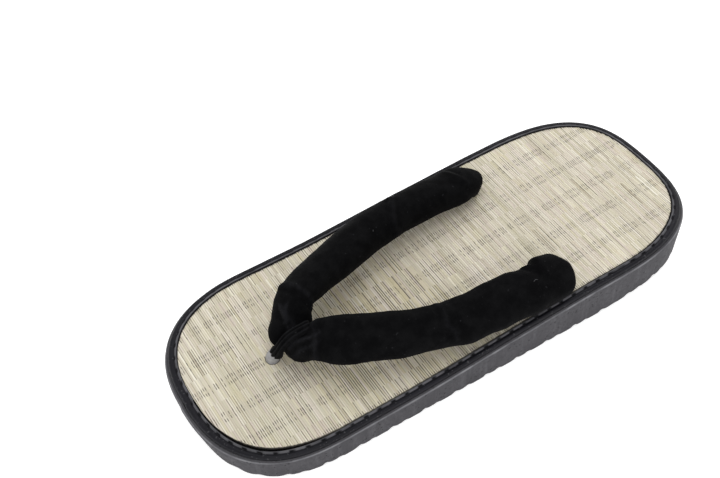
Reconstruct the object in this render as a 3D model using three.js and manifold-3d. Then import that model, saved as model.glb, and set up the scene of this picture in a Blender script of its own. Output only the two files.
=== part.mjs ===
// Zori sandal: a foam wedge sole, a stitched edge band, a rush mat, a padded V strap,
// and the toe post with its velvet wrap. Every size is in millimetres.
// X runs from toe to heel, Y across the foot and Z up. The origin is on the floor under the
// middle of the sole. Distances called x in the tables are counted from the tip of the toe.
import * as THREE from 'three';
import { mergeVertices } from 'three/addons/utils/BufferGeometryUtils.js';
import Module from 'manifold-3d';

const wasm = await Module();
wasm.setup();

// Outline: two rounded ends joined by nearly straight sides
const LENGTH = 275;
const TOE = { halfWidth: 56, reach: 60, power: 2.5 };
const HEEL = { halfWidth: 55.4, reach: 70, power: 2.85 };
const END_STEPS = 12;
const SIDE_STEPS = 14;

// Height of the mat's surface above the floor: thin forefoot, thick heel
const SURFACE = [
  { x: 0, height: 12.6 },
  { x: 45, height: 14.4 },
  { x: 95, height: 15.4 },
  { x: 150, height: 19.2 },
  { x: 205, height: 22.2 },
  { x: 275, height: 23.2 },
];

// Layers under the surface, and the gap left between neighbouring pieces
const GAP = 0.3;
const MAT_THICKNESS = 2.6;
const SOLE_DEPTH = MAT_THICKNESS + GAP;

// Sections of the edge, as rows of inset from the outline and depth under the mat's surface
const SOLE_LIP = [
  { inset: 0, depth: 2.4 },
  { inset: 0.15, depth: 2.0 },
  { inset: 0.45, depth: 1.9 },
  { inset: 0.75, depth: 2.1 },
  { inset: 0.8, depth: SOLE_DEPTH },
];
const WALL_UNDERCUT = 0.9;
const BAND = [
  { inset: 1.1, depth: MAT_THICKNESS },
  { inset: 1.1, depth: 1.7 },
  { inset: 1.5, depth: 0.6 },
  { inset: 2.3, depth: -0.1 },
  { inset: 3.2, depth: -0.35 },
  { inset: 4.3, depth: -0.3 },
  { inset: 4.7, depth: 0.1 },
  { inset: 5.1, depth: 0.1 },
  { inset: 5.3, depth: -0.5 },
  { inset: 5.8, depth: -0.65 },
  { inset: 6.2, depth: -0.3 },
  { inset: 6.3, depth: 0.5 },
  { inset: 6.3, depth: MAT_THICKNESS },
];
const MAT_EDGE = [
  { inset: 6.6, depth: MAT_THICKNESS },
  { inset: 6.6, depth: 0.7 },
  { inset: 7.2, depth: 0 },
];

// Tread: a repeat of one main lug and one short lug, cut across the sole
const LUG_PITCH = 17.5;
const LUG_REPEAT = [
  { along: 0, up: 0 },
  { along: 5.5, up: 0 },
  { along: 7.2, up: 1.6 },
  { along: 8.6, up: 1.9 },
  { along: 10.2, up: 0.6 },
  { along: 13.2, up: 0.6 },
  { along: 14.6, up: 1.8 },
  { along: 16.2, up: 1.7 },
];

// The V strap's own middle line lies off the middle of the sole, towards -Y
const STRAP_OFFSET = -6;

// One branch of the strap, from the toe post to its hole: out from the strap's middle line,
// up from the mat, half sizes of the flattened section, and how far its outer edge hangs down
const BRANCH = [
  { x: 51.4, out: 1.8, up: 10.0, wide: 2.6, thick: 2.4, tilt: 50 },
  { x: 52.4, out: 3.4, up: 11.4, wide: 5.0, thick: 4.4, tilt: 48 },
  { x: 55.0, out: 6.2, up: 14.8, wide: 7.0, thick: 6.0, tilt: 44 },
  { x: 59.4, out: 9.8, up: 19.2, wide: 8.8, thick: 7.2, tilt: 38 },
  { x: 66.0, out: 14.0, up: 22.4, wide: 10.0, thick: 7.8, tilt: 32 },
  { x: 75.0, out: 18.2, up: 21.6, wide: 10.7, thick: 8.4, tilt: 30 },
  { x: 86.0, out: 22.8, up: 19.4, wide: 11.0, thick: 9.0, tilt: 29 },
  { x: 102.0, out: 29.0, up: 16.6, wide: 10.9, thick: 9.6, tilt: 27 },
  { x: 120.0, out: 34.2, up: 14.6, wide: 10.8, thick: 9.6, tilt: 26 },
  { x: 138.0, out: 36.2, up: 13.5, wide: 10.8, thick: 9.4, tilt: 25 },
  { x: 156.0, out: 36.9, up: 12.0, wide: 10.7, thick: 9.1, tilt: 24 },
  { x: 170.0, out: 37.3, up: 10.4, wide: 10.4, thick: 8.5, tilt: 22 },
  { x: 177.5, out: 37.3, up: 8.9, wide: 9.8, thick: 7.7, tilt: 18 },
  { x: 181.3, out: 37.2, up: 6.9, wide: 8.6, thick: 6.8, tilt: 12 },
];
const STRAP_SIDES = 16;
const STRAP_SQUARENESS = 2.3;

// The strap's ends narrow to a neck that goes down through the mat into the sole
const REAR_HOLE = { x: 182.8, out: 37, radius: 4.4 };
const STRAP_FOOT = { wide: 5.6, thick: 5.6, up: 1.2 };
const NECK_RADIUS = REAR_HOLE.radius - GAP;
const NECK_DEPTH = 9;
const SOCKET_DEPTH = 10;

// Toe post, and the oval throat where the wrap draws the two branches together
const POST = { x: 47, y: -1.8, radius: 3.5, top: 4.8 };
const THROAT = { x: 60.0, up: 11.2, long: 10.2, short: 4.2, slope: 8, halfWidth: 6 };
const WRAP = { halfWidth: 4.0, wall: 1.6 };

const SEGMENTS = 24;
const DEG = Math.PI / 180;

// Cubic through the rows of a table, with each row's slope set by its neighbours
function smooth(rows, by, column) {
  const slope = (i) => {
    const a = rows[Math.max(i - 1, 0)];
    const b = rows[Math.min(i + 1, rows.length - 1)];
    return (b[column] - a[column]) / (b[by] - a[by]);
  };
  return (at) => {
    let i = 0;
    while (i < rows.length - 2 && at > rows[i + 1][by]) i += 1;
    const [a, b] = [rows[i], rows[i + 1]];
    const span = b[by] - a[by];
    const t = THREE.MathUtils.clamp((at - a[by]) / span, 0, 1);
    const rise = b[column] - a[column];
    const bend = slope(i) * span - rise;
    const tail = rise - slope(i + 1) * span;
    return a[column] + rise * t + t * (1 - t) * (bend * (1 - t) + tail * t);
  };
}

const surface = smooth(SURFACE, 'x', 'height');
const fromToe = (x) => x - LENGTH / 2;

// Half outline from toe to heel, as points and outward normals. Points 0 and last lie on the
// middle line, and the other half is the mirror image.
function halfOutline() {
  const points = [];
  for (let i = 0; i <= END_STEPS; i += 1) {
    const angle = (i / END_STEPS) * 90 * DEG;
    const x = TOE.reach * (1 - Math.max(Math.cos(angle), 0) ** (2 / TOE.power));
    points.push(new THREE.Vector2(x, TOE.halfWidth * Math.sin(angle) ** (2 / TOE.power)));
  }
  for (let i = 1; i < SIDE_STEPS; i += 1) {
    const t = i / SIDE_STEPS;
    const x = THREE.MathUtils.lerp(TOE.reach, LENGTH - HEEL.reach, t);
    points.push(new THREE.Vector2(x, THREE.MathUtils.lerp(TOE.halfWidth, HEEL.halfWidth, t)));
  }
  for (let i = END_STEPS; i >= 0; i -= 1) {
    const angle = (i / END_STEPS) * 90 * DEG;
    const x = LENGTH - HEEL.reach * (1 - Math.max(Math.cos(angle), 0) ** (2 / HEEL.power));
    points.push(new THREE.Vector2(x, HEEL.halfWidth * Math.sin(angle) ** (2 / HEEL.power)));
  }
  return points.map((point, i) => {
    const mirrored = (other) => new THREE.Vector2(other.x, -other.y);
    const before = i > 0 ? points[i - 1] : mirrored(points[1]);
    const after = i < points.length - 1 ? points[i + 1] : mirrored(points[i - 1]);
    const along = after.clone().sub(before).normalize();
    return { point, normal: new THREE.Vector2(-along.y, along.x) };
  });
}

const HALF = halfOutline();
const AROUND = 2 * HALF.length - 2;

// One closed ring of points: inset from the outline, at a height that depends on x
function ring(inset, height) {
  const half = HALF.map(({ point, normal }) => point.clone().addScaledVector(normal, -inset));
  const whole = [...half, ...half.slice(1, -1).reverse().map((p) => new THREE.Vector2(p.x, -p.y))];
  return whole.map((p) => new THREE.Vector3(fromToe(p.x), p.y, height(p.x)));
}

// Closed mesh from a list of points and a list of triangles
function meshed(points, faces) {
  const geometry = new THREE.BufferGeometry();
  geometry.setAttribute('position', new THREE.Float32BufferAttribute(points.flatMap((p) => p.toArray()), 3));
  geometry.setIndex(faces.flat());
  return geometry;
}

// Triangles that join each loop of points to the next one
function joinLoops(count, loops, closed) {
  const faces = [];
  for (let k = 0; k < (closed ? loops : loops - 1); k += 1) {
    for (let i = 0; i < count; i += 1) {
      const next = (i + 1) % count;
      const [a, b] = [k * count + i, k * count + next];
      const [c, d] = [((k + 1) % loops) * count + next, ((k + 1) % loops) * count + i];
      faces.push([a, b, c], [a, c, d]);
    }
  }
  return faces;
}

// Rows of inset and depth as rings that follow the mat's surface
const sectionRings = (rows) => rows.map((row) => ring(row.inset, (x) => surface(x) - row.depth));

// A plate: its rings climb from the bottom outline to the top one, and strips across close both
function plate(rings) {
  const faces = joinLoops(AROUND, rings.length, false).map(([a, b, c]) => [a, c, b]);
  const across = (first, i) => [first + i, first + i + 1, first + ((AROUND - i - 1) % AROUND), first + ((AROUND - i) % AROUND)];
  const top = (rings.length - 1) * AROUND;
  for (let i = 0; i < HALF.length - 1; i += 1) {
    for (const [first, up] of [[0, false], [top, true]]) {
      const [a, b, c, d] = across(first, i);
      const pair = i === 0 ? [[a, b, c]] : i === HALF.length - 2 ? [[a, b, d]] : [[a, b, c], [a, c, d]];
      pair.forEach(([p, q, r]) => faces.push(up ? [p, r, q] : [p, q, r]));
    }
  }
  return meshed(rings.flat(), faces);
}

// Solids that can be joined and cut
function solid(geometry) {
  const bare = geometry.clone();
  bare.deleteAttribute('normal');
  bare.deleteAttribute('uv');
  const merged = mergeVertices(bare);
  return new wasm.Manifold(new wasm.Mesh({
    numProp: 3,
    vertProperties: new Float32Array(merged.attributes.position.array),
    triVerts: new Uint32Array(merged.index.array),
  }));
}

function geometryOf(manifold) {
  const mesh = manifold.getMesh();
  const geometry = new THREE.BufferGeometry();
  geometry.setAttribute('position', new THREE.Float32BufferAttribute(mesh.vertProperties, 3));
  geometry.setIndex(new THREE.Uint32BufferAttribute(mesh.triVerts, 1));
  return geometry;
}

// An upright round bar between two heights, at a place counted from the toe
function bar(x, y, radius, low, high) {
  const shape = new THREE.CylinderGeometry(radius, radius, high - low, SEGMENTS);
  return shape.rotateX(90 * DEG).translate(fromToe(x), y, (low + high) / 2);
}

const sides = [1, -1];
const rearHoleY = (side) => STRAP_OFFSET + side * REAR_HOLE.out;

// Sockets for the post and the strap's two necks, open at the top
function sockets(depth) {
  const post = bar(POST.x, POST.y, POST.radius + GAP, surface(POST.x) - depth, surface(POST.x) + depth);
  const rear = sides.map((side) => {
    const level = surface(REAR_HOLE.x);
    return bar(REAR_HOLE.x, rearHoleY(side), REAR_HOLE.radius, level - depth, level + depth);
  });
  return [post, ...rear].map(solid);
}

// The space under the tread, as one long strip with the lugs' outline along its top
function treadCutter() {
  const shape = new THREE.Shape();
  shape.moveTo(-LUG_PITCH, -LUG_PITCH);
  for (let start = -LUG_PITCH; start < LENGTH + LUG_PITCH; start += LUG_PITCH) {
    LUG_REPEAT.forEach((row) => shape.lineTo(start + row.along, row.up));
  }
  shape.lineTo(LENGTH + 2 * LUG_PITCH, -LUG_PITCH);
  const width = 3 * TOE.halfWidth;
  const strip = new THREE.ExtrudeGeometry(shape, { depth: width, bevelEnabled: false });
  return solid(strip.rotateX(90 * DEG).translate(fromToe(0), width / 2, 0));
}

function outsole() {
  const rings = [ring(WALL_UNDERCUT, () => 0), ...sectionRings(SOLE_LIP)];
  const body = [treadCutter(), ...sockets(SOCKET_DEPTH)].reduce((rest, cut) => rest.subtract(cut), solid(plate(rings)));
  return geometryOf(body);
}

function mat() {
  const body = sockets(2 * MAT_THICKNESS).reduce((rest, cut) => rest.subtract(cut), solid(plate(sectionRings(MAT_EDGE))));
  return geometryOf(body);
}

function edgeBand() {
  const rings = sectionRings(BAND);
  return meshed(rings.flat(), joinLoops(AROUND, rings.length, true).map(([a, b, c]) => [a, c, b]));
}

// Centre line of a branch, as points with their sections
function branchStations(side) {
  const rows = BRANCH.map((row) => ({ ...row, level: surface(row.x) }));
  const level = surface(REAR_HOLE.x);
  const foot = { x: REAR_HOLE.x, out: REAR_HOLE.out, tilt: 0, level };
  rows.push({ ...foot, up: STRAP_FOOT.up, wide: STRAP_FOOT.wide, thick: STRAP_FOOT.thick });
  rows.push({ ...foot, up: STRAP_FOOT.up - GAP, wide: NECK_RADIUS, thick: NECK_RADIUS, square: 2 });
  rows.push({ ...foot, up: -NECK_DEPTH, wide: NECK_RADIUS, thick: NECK_RADIUS, square: 2 });
  return rows.map((row) => ({
    ...row,
    centre: new THREE.Vector3(fromToe(row.x), STRAP_OFFSET + side * row.out, row.level + row.up),
  }));
}

// One padded branch: flattened sections along its centre line, closed at both ends
function branch(side) {
  const stations = branchStations(side);
  const outward = new THREE.Vector3(-0.25, side, 0).normalize();
  const points = [];
  stations.forEach((station, i) => {
    const before = stations[Math.max(i - 1, 0)].centre;
    const after = stations[Math.min(i + 1, stations.length - 1)].centre;
    const along = after.clone().sub(before).normalize();
    const out = outward.clone().addScaledVector(along, -outward.dot(along)).normalize();
    const up = new THREE.Vector3().crossVectors(along, out).multiplyScalar(side);
    const tilt = station.tilt * DEG;
    const wide = out.clone().multiplyScalar(Math.cos(tilt)).addScaledVector(up, -Math.sin(tilt));
    const thick = out.clone().multiplyScalar(Math.sin(tilt)).addScaledVector(up, Math.cos(tilt));
    const power = 2 / (station.square ?? STRAP_SQUARENESS);
    for (let k = 0; k < STRAP_SIDES; k += 1) {
      const angle = (k / STRAP_SIDES) * 360 * DEG;
      const [c, s] = [Math.cos(angle), Math.sin(angle)];
      points.push(station.centre.clone()
        .addScaledVector(wide, station.wide * Math.sign(c) * Math.abs(c) ** power)
        .addScaledVector(thick, station.thick * Math.sign(s) * Math.abs(s) ** power));
    }
  });
  const faces = joinLoops(STRAP_SIDES, stations.length, false);
  const last = (stations.length - 1) * STRAP_SIDES;
  for (let k = 1; k < STRAP_SIDES - 1; k += 1) {
    faces.push([0, k + 1, k], [last, last + k, last + k + 1]);
  }
  return solid(meshed(points, side > 0 ? faces : faces.map(([a, b, c]) => [a, c, b])));
}

// The throat's oval in the plane of X and Z, grown by an amount
function oval(grow) {
  const curve = new THREE.EllipseCurve(
    fromToe(THROAT.x), surface(THROAT.x) + THROAT.up,
    THROAT.long + grow, THROAT.short + grow, 0, 360 * DEG, false, THROAT.slope * DEG,
  );
  return curve.getPoints(SEGMENTS).slice(0, -1);
}

// A shape in the plane of X and Z, made solid across Y about the strap's middle line
function acrossStrap(shape, halfWidth) {
  const block = new THREE.ExtrudeGeometry(shape, { depth: 2 * halfWidth, bevelEnabled: false });
  return block.rotateX(90 * DEG).translate(0, STRAP_OFFSET + halfWidth, 0);
}

// Everything round the throat that the wrap's width leaves free
function pinch() {
  const reach = 3 * THROAT.long;
  const [x, z] = [fromToe(THROAT.x), surface(THROAT.x) + THROAT.up];
  const frame = [[-1, -1], [1, -1], [1, 1], [-1, 1]];
  const shape = new THREE.Shape(frame.map(([i, j]) => new THREE.Vector2(x + i * reach, z + j * reach)));
  shape.holes.push(new THREE.Path(oval(0)));
  return solid(acrossStrap(shape, WRAP.halfWidth + GAP));
}

function strap() {
  const throat = solid(acrossStrap(new THREE.Shape(oval(0)), THROAT.halfWidth));
  return geometryOf(branch(1).add(branch(-1)).add(throat).subtract(pinch()));
}

function toeWrap() {
  const shape = new THREE.Shape(oval(GAP + WRAP.wall));
  shape.holes.push(new THREE.Path(oval(GAP)));
  return acrossStrap(shape, WRAP.halfWidth);
}

function toePost() {
  const level = surface(POST.x);
  return bar(POST.x, POST.y, POST.radius, level - SOCKET_DEPTH + GAP, level + POST.top);
}

function piece(name, geometry, color, roughness) {
  const mesh = new THREE.Mesh(geometry, new THREE.MeshStandardMaterial({ color, roughness, metalness: 0 }));
  mesh.name = name;
  return mesh;
}

const sandal = new THREE.Group();
sandal.add(
  piece('outsole', outsole(), 0x3c3b3e, 0.85),
  piece('edge_band', edgeBand(), 0x2a292c, 0.55),
  piece('insole_mat', mat(), 0xd2c8ae, 0.8),
  piece('strap', strap(), 0x101012, 0.95),
  piece('toe_wrap', toeWrap(), 0x141416, 0.95),
  piece('toe_post', toePost(), 0x9a9aa0, 0.4),
);

export default sandal;
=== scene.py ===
# %% [markdown]
# # A zori sandal
# A zori is a flat Japanese sandal. This one has a foam rubber wedge sole with wavy lugs, a black vinyl
# band stitched round its edge, a woven rush mat, and a V strap of padded black velvet. A velvet loop
# draws the two branches of the strap together, and a grey plastic tube goes down between the toes.
# The lesson starts from a solid model of the sandal, which fixes every size and place. Each piece is
# then rebuilt here with the surface that the real one has.

# %% Load the solid model
import math
import bmesh
import bpy
from mathutils import Matrix, Quaternion, Vector, noise


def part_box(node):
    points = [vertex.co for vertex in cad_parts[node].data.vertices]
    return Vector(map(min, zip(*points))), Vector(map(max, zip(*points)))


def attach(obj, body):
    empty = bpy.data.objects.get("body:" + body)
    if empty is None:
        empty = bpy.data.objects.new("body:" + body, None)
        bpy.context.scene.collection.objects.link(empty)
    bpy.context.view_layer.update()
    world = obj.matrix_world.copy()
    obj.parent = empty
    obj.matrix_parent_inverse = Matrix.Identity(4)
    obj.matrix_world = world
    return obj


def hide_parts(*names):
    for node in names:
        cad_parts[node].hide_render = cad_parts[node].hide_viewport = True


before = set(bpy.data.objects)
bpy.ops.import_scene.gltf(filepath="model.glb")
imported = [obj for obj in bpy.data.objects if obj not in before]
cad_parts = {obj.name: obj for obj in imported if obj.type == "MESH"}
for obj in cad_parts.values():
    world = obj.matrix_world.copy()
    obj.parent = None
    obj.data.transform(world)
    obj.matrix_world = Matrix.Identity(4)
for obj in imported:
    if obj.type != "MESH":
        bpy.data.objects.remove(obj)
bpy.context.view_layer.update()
MM = 0.001

# %% [markdown]
# ## Camera and light
# The camera looks down on the sandal from beside its toe, with a longish lens that keeps the sole's two
# long sides nearly parallel. It is placed by the point on the floor that it looks at, by its distance,
# and by three angles, because these say more than a position and a rotation do.

# %% Camera
AIM = Vector((-10.8, 51.0, 0)) * MM
DISTANCE = 593.1 * MM
AZIMUTH = math.radians(29.24)
ELEVATION = math.radians(48.24)
ROLL = math.radians(-3.22)
# in mm
LENS = 56.37
SENSOR = 36

ahead = Vector((
    math.sin(AZIMUTH) * math.cos(ELEVATION),
    math.cos(AZIMUTH) * math.cos(ELEVATION),
    -math.sin(ELEVATION),
))
camera = bpy.data.objects.new("camera", bpy.data.cameras.new("camera"))
camera.data.lens = LENS
camera.data.sensor_width = SENSOR
camera.location = AIM - ahead * DISTANCE
camera.rotation_mode = "QUATERNION"
camera.rotation_quaternion = ahead.to_track_quat("-Z", "Y") @ Quaternion((0, 0, 1), ROLL)
camera.data.clip_start = 10 * MM
camera.data.clip_end = 20
bpy.context.scene.collection.objects.link(camera)
bpy.context.scene.camera = camera
print("camera at, mm:", [round(v / MM, 1) for v in camera.location])

# %% [markdown]
# A pale floor and large lamps make the soft light of a product studio. The big lamp overhead shapes the
# rounded edges. The lamp beside the camera opens up the dark wall of the sole, and the low one behind
# draws a thin bright line along edges that face away.

# %% Lamps and sky
LAMPS = [
    # name, place in m, size in m, power in W
    ("overhead", (-0.15, 0.15, 1.2), 1.4, 8),
    ("beside_camera", (-0.5, -1.0, 0.7), 0.9, 6),
    ("behind", (0.9, 0.5, 0.5), 0.6, 4),
]
SKY_STRENGTH = 0.68

for name, place, size, power in LAMPS:
    lamp = bpy.data.objects.new(name, bpy.data.lights.new(name, "AREA"))
    lamp.data.size = size
    lamp.data.energy = power
    lamp.location = place
    lamp.rotation_mode = "QUATERNION"
    lamp.rotation_quaternion = (-Vector(place)).to_track_quat("-Z", "Y")
    bpy.context.scene.collection.objects.link(lamp)

world = bpy.data.worlds.new("studio")
bpy.context.scene.world = world
world.use_nodes = True
sky = world.node_tree.nodes["Background"]
sky.inputs["Color"].default_value = (1, 1, 1, 1)
sky.inputs["Strength"].default_value = SKY_STRENGTH
bpy.context.scene.view_settings.view_transform = "Standard"
print("lamps:", [row[0] for row in LAMPS])

# %% [markdown]
# ## Materials as sums
# A procedural material is arithmetic on positions and noise. Built by hand, each sum is a row of Math
# nodes. The small class below lets a socket stand in a Python expression, so `1 - mask * 0.5` adds its
# own nodes. Every other node comes from `Recipe.add`.


# %% A socket that can be used in a sum
class Wire:
    """An output socket of a material's node, for use in expressions."""

    def __init__(self, recipe, socket):
        self.recipe = recipe
        self.socket = socket

    def maths(self, operation, *values):
        return self.recipe.add("Math", {"operation": operation}, dict(enumerate(values)))

    def __add__(self, other):
        return self.maths("ADD", self, other)

    def __sub__(self, other):
        return self.maths("SUBTRACT", self, other)

    def __rsub__(self, other):
        return self.maths("SUBTRACT", other, self)

    def __mul__(self, other):
        return self.maths("MULTIPLY", self, other)

    def __truediv__(self, other):
        return self.maths("DIVIDE", self, other)

    def __pow__(self, other):
        return self.maths("POWER", self, other)

    __radd__ = __add__
    __rmul__ = __mul__

    def floor(self):
        """The whole number at or below the value."""
        return self.maths("FLOOR", self)

    def fract(self):
        """What is left of the value above its floor."""
        return self.maths("FRACT", self)

    def size(self):
        """The value without its sign."""
        return self.maths("ABSOLUTE", self)

    def between(self, low, high):
        """0 below low, 1 above high, and a smooth step in between."""
        settings = {"interpolation_type": "SMOOTHSTEP"}
        values = {"Value": self, "From Min": low, "From Max": high}
        return self.recipe.add("MapRange", settings, values)


print("a wire can be used with + - * / and **")

# %% [markdown]
# The second class holds one material while it is made: its node tree, shorthands for the nodes that most
# finishes use, and `finish`, which wires up the surface at the end. Only the colour, the roughness and a
# bump vary over a surface, because those can be baked into textures for other programs. Gloss and sheen
# are one number for the whole finish.


# %% A material being built
class Recipe:
    """One material: its nodes, and the finish that they end in."""

    def __init__(self, name):
        self.name = name
        self.material = bpy.data.materials.new(name)
        self.material.use_nodes = True
        self.tree = self.material.node_tree
        self.tree.nodes.clear()
        self.place = self.add("TexCoord", {}, {}, "Object")

    def add(self, kind, settings, values, output=0):
        """A node of a kind, with its settings made first, and values or wires on its sockets."""
        node = self.tree.nodes.new("ShaderNode" + kind)
        for key, value in settings.items():
            if key == "stops":
                self.set_stops(node.color_ramp, value)
            else:
                setattr(node, key, value)
        for key, value in values.items():
            if isinstance(value, Wire):
                self.tree.links.new(value.socket, node.inputs[key])
            else:
                node.inputs[key].default_value = value
        return Wire(self, node.outputs[output])

    def set_stops(self, ramp, stops):
        """Places and colours of a colour ramp."""
        while len(ramp.elements) < len(stops):
            ramp.elements.new(1)
        for element, (position, colour) in zip(ramp.elements, stops):
            element.position = position
            element.color = (*colour, 1)

    def noise(self, vector, scale, detail=2.0, roughness=0.5):
        """Soft random clouds. The larger the scale is, the smaller they are."""
        values = {"Vector": vector, "Scale": scale, "Detail": detail, "Roughness": roughness}
        return self.add("TexNoise", {}, values)

    def stretched(self, scale):
        """Object coordinates, scaled by a different number along each axis."""
        return self.add("Mapping", {}, {"Vector": self.place, "Scale": scale})

    def axes(self, vector):
        """The three numbers of a vector, each as a wire."""
        return [self.add("SeparateXYZ", {}, {"Vector": vector}, i) for i in range(3)]

    def blend(self, mask, first, second):
        """The first colour where the mask is 0, and the second where it is 1."""
        colours = {6: first, 7: second}
        full = {key: (*c, 1) if isinstance(c, tuple) else c for key, c in colours.items()}
        return self.add("Mix", {"data_type": "RGBA"}, {0: mask, **full}, 2)

    def finish(self, colour, roughness, height, depth, fixed=None):
        """The surface: colour, roughness, a bump of some depth in metres, and fixed values."""
        bump = self.add("Bump", {}, {"Height": height, "Distance": depth, "Strength": 1.0})
        values = {"Base Color": colour, "Roughness": roughness, "Normal": bump, **(fixed or {})}
        surface = self.add("BsdfPrincipled", {}, values)
        output = self.tree.nodes.new("ShaderNodeOutputMaterial")
        self.tree.links.new(surface.socket, output.inputs["Surface"])
        print("finish", self.name, "has", len(self.tree.nodes), "nodes")
        return self.material


# %% [markdown]
# ## The outline
# Seen from above the sole is two rounded ends joined by nearly straight sides. Each end is a
# superellipse, a curve between an ellipse and a rectangle, so two lengths and a power describe it. Every
# layer of the sandal follows this outline at its own distance inwards. Hand work isn't symmetrical, so
# along the -Y side one corner is a little fuller, and the band is narrower.

# %% Outline from the solid model's size
sole_low, sole_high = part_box("outsole")
LENGTH = sole_high.x - sole_low.x
HALF_WIDTH = sole_high.y
# half width, reach along the sole, and power of the curve
TOE = (HALF_WIDTH, 60 * MM, 2.5)
HEEL = (HALF_WIDTH - 0.6 * MM, 70 * MM, 2.85)
END_COLUMNS = 90
SIDE_COLUMNS = 190


def end_curve(end, share):
    """Distance from the tip and half width, at a share of the way round an end."""
    half_width, reach, power = end
    angle = share * math.pi / 2
    along = reach * (1 - max(math.cos(angle), 0) ** (2 / power))
    return along, half_width * math.sin(angle) ** (2 / power)


def half_outline():
    """Points from toe tip to heel tip along the +Y side, with their outward normals."""
    toe = [end_curve(TOE, i / END_COLUMNS) for i in range(END_COLUMNS + 1)]
    heel = [end_curve(HEEL, i / END_COLUMNS) for i in range(END_COLUMNS + 1)]
    points = [Vector((x, y)) for x, y in toe]
    start, stop = points[-1], Vector((LENGTH - heel[-1][0], heel[-1][1]))
    points += [start.lerp(stop, i / SIDE_COLUMNS) for i in range(1, SIDE_COLUMNS)]
    points += [Vector((LENGTH - x, y)) for x, y in reversed(heel)]
    mirrored = [Vector((points[1].x, -points[1].y)), Vector((points[-2].x, -points[-2].y))]
    around = [mirrored[0], *points, mirrored[1]]
    normals = []
    for before, after in zip(around, around[2:]):
        along = (after - before).normalized()
        normals.append(Vector((-along.y, along.x)))
    return [(p - Vector((LENGTH / 2, 0)), n) for p, n in zip(points, normals)]


HALF = half_outline()
COLUMNS = len(HALF) - 1
FULL_CORNER = 1.0 * MM
# where that corner's fullness is greatest along the sandal, and how far it reaches, in mm
FULL_CORNER_X = -113
FULL_CORNER_REACH = 24
NARROWER = 1.7 * MM


def smoothstep(value):
    """0 up to a value of 0, 1 from a value of 1, and a smooth step in between."""
    value = min(max(value, 0), 1)
    return value * value * (3 - 2 * value)


def rim(inset):
    """x and half width of each column of the outline, moved inwards."""
    return [(p.x - n.x * inset, max(p.y - n.y * inset, 0)) for p, n in HALF]


def rim_point(inset, column):
    """A point of the whole closed outline: columns run up the +Y side and back down the other."""
    here = column if column <= COLUMNS else 2 * COLUMNS - column
    side = 1 if column <= COLUMNS else -1
    point, normal = HALF[here]
    if side < 0:
        away = (point.x / MM - FULL_CORNER_X) / FULL_CORNER_REACH
        inset -= FULL_CORNER * math.exp(-(away ** 2))
    return Vector((point.x - normal.x * inset, side * (point.y - normal.y * inset)))


def narrowed(point):
    """How far the band's inner edge is moved outwards at a point, which fades out at both tips."""
    ends = smoothstep((point.x / MM + 137) / 25) * smoothstep((125 - point.x / MM) / 40)
    return NARROWER * ends if point.y < 0 else 0


print("outline:", 2 * COLUMNS, "points,", round(LENGTH / MM), "by", round(2 * HALF_WIDTH / MM), "mm")

# %% [markdown]
# The sole is a wedge, so the mat's surface climbs from toe to heel. A short table gives its height, and
# a smooth curve through the table gives it everywhere.

# %% Height of the mat's surface
# from the toe's tip, and above the floor, in mm
SURFACE = [(0, 12.6), (45, 14.4), (95, 15.4), (150, 19.2), (205, 22.2), (275, 23.2)]


def through(table, at):
    """Smooth curve through a table of pairs."""
    last = len(table) - 1

    def slope(i):
        a, b = table[max(i - 1, 0)], table[min(i + 1, last)]
        return (b[1] - a[1]) / (b[0] - a[0])

    i = max([k for k in range(last) if at >= table[k][0]], default=0)
    (x0, y0), (x1, y1) = table[i], table[i + 1]
    share = min(max((at - x0) / (x1 - x0), 0), 1)
    rise = y1 - y0
    bend, tail = slope(i) * (x1 - x0) - rise, rise - slope(i + 1) * (x1 - x0)
    return y0 + rise * share + share * (1 - share) * (bend * (1 - share) + tail * share)


def surface(x):
    """Height of the mat's surface at a place along the sandal."""
    return through(SURFACE, (x + LENGTH / 2) / MM) * MM


heights = [round(surface(x) / MM, 1) for x in (-LENGTH / 2, LENGTH / 2)]
print("mat above the floor at toe and heel, mm:", heights)

# %% [markdown]
# ## Two ways to make a shell
# Two helpers make most of the sandal. A *plate* is a grid pulled into the outline's shape, for the mat
# and the tread. A *loft* starts from a circle of points and extrudes it from row to row, for the band,
# the strap's wrap and the tube. The same extrusion, `grow`, raises the sole's wall from the tread's
# border. Two layers of numbers on the points, column and row, say where in the pattern each one is.


# %% Plates and lofts
def plate(bm, edge, rows, height, column=None):
    """A grid with one column for each (x, half width) of edge. rows are places across it in metres,
    which stop at the edge, or shares of the half width where the first is -1. The layer column, if
    given, keeps each point's number round the outline."""
    last, last_row = len(edge) - 1, len(rows) - 1
    made = bmesh.ops.create_grid(bm, x_segments=last, y_segments=last_row, size=1)
    for vert in made["verts"]:
        i = round((vert.co.x + 1) / 2 * last)
        x, half_width = edge[i]
        row = rows[round((vert.co.y + 1) / 2 * last_row)]
        y = row * half_width if rows[0] == -1 else min(max(row, -half_width), half_width)
        vert.co = (x, y, height(x, y))
        if column:
            vert[column] = i if row >= 0 else 2 * last - i
    bmesh.ops.remove_doubles(bm, verts=made["verts"], dist=1e-6)


def grow(bm, edges, rows, place):
    """Extrudes a ring of edges through the rows, and returns the last ring's edges. place gives a
    point from its column and a row."""
    column = bm.verts.layers.int["column"]
    number = bm.verts.layers.int["row"]
    for row in rows:
        made = bmesh.ops.extrude_edge_only(bm, edges=edges)["geom"]
        fresh = {item for item in made if isinstance(item, bmesh.types.BMVert)}
        for vert in fresh:
            vert.co = place(vert[column], row)
            vert[number] += 1
        edges = [e for e in bm.edges if e.verts[0] in fresh and e.verts[1] in fresh]
    return edges


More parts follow.
